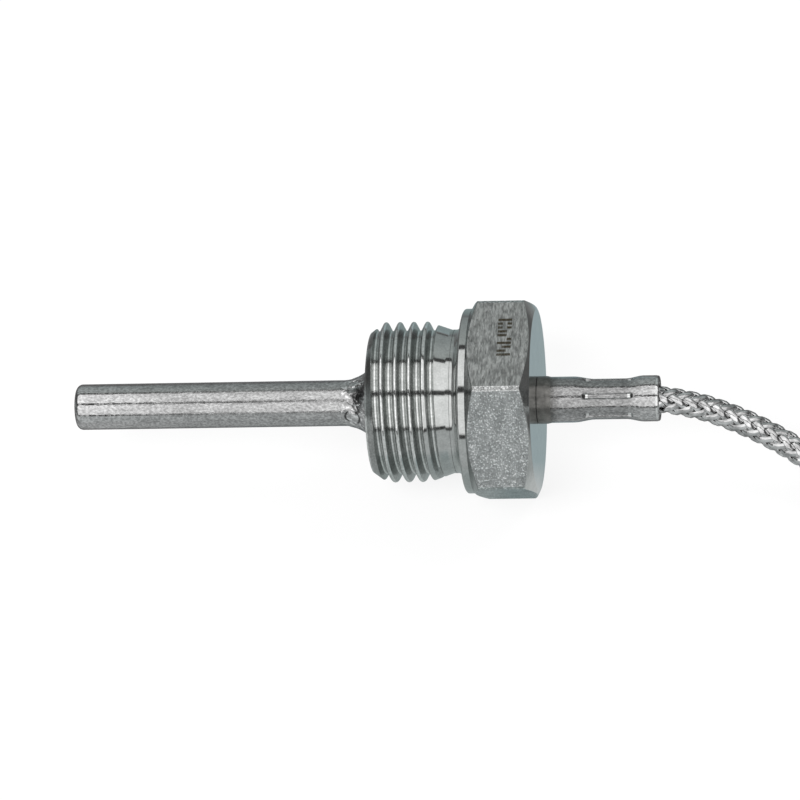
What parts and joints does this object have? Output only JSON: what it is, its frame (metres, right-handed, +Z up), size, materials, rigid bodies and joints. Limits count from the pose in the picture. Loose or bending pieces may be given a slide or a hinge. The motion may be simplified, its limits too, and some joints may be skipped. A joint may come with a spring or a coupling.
{
  "type": "screw-in resistance temperature probe",
  "caption": "Screw-in temperature probe: a closed stainless tube in a hexagon fitting with a pipe thread, crimped onto a braided cable with bare wire ends.",
  "frame": {"origin": "on the tube's axis, in the plane of the hexagon's sealing shoulder, where the thread's relief groove ends", "axes": "+X along the tube, from the closed tip towards the cable; +Z up with the part lying on one flat of its hexagon; +Y across"},
  "size_m": [0.1822, 0.0308, 0.0246],
  "materials": {
    "tube_steel": "satin",
    "fitting_steel": "satin",
    "weld_steel": "satin",
    "element_ceramic": "satin",
    "wire_metal": "satin",
    "bedding_powder": "matte",
    "braze_metal": "satin",
    "sleeve_film": "satin",
    "spacer_ceramic": "matte",
    "red_insulation": "satin",
    "white_insulation": "satin",
    "seal_resin": "satin",
    "inner_jacket": "satin",
    "braid_steel": "satin",
    "liner_sleeve": "matte",
    "tie_plastic": "satin",
    "shrink_sleeve": "satin"
  },
  "bodies": {
    "root": {"probe_tube": "tube_steel", "end_plug": "tube_steel", "process_fitting": "fitting_steel", "front_weld": "weld_steel", "rear_weld": "weld_steel", "sensing_element": "element_ceramic", "element_leads": "wire_metal", "element_bedding": "bedding_powder", "wire_joints": "braze_metal", "joint_sleeves": "sleeve_film", "ceramic_spacer": "spacer_ceramic", "bare_wires": "wire_metal", "red_cores": "red_insulation", "white_cores": "white_insulation", "cable_seal": "seal_resin", "cable_jacket": "inner_jacket", "cable_braid": "braid_steel", "crimp_liner": "liner_sleeve", "cable": "braid_steel", "cable_hank": "braid_steel", "cable_tail": "braid_steel", "hank_tie": "tie_plastic", "end_sleeve": "shrink_sleeve", "red_leads": "red_insulation", "white_leads": "white_insulation", "wire_ferrules": "wire_metal"}
  },
  "joints": []
}
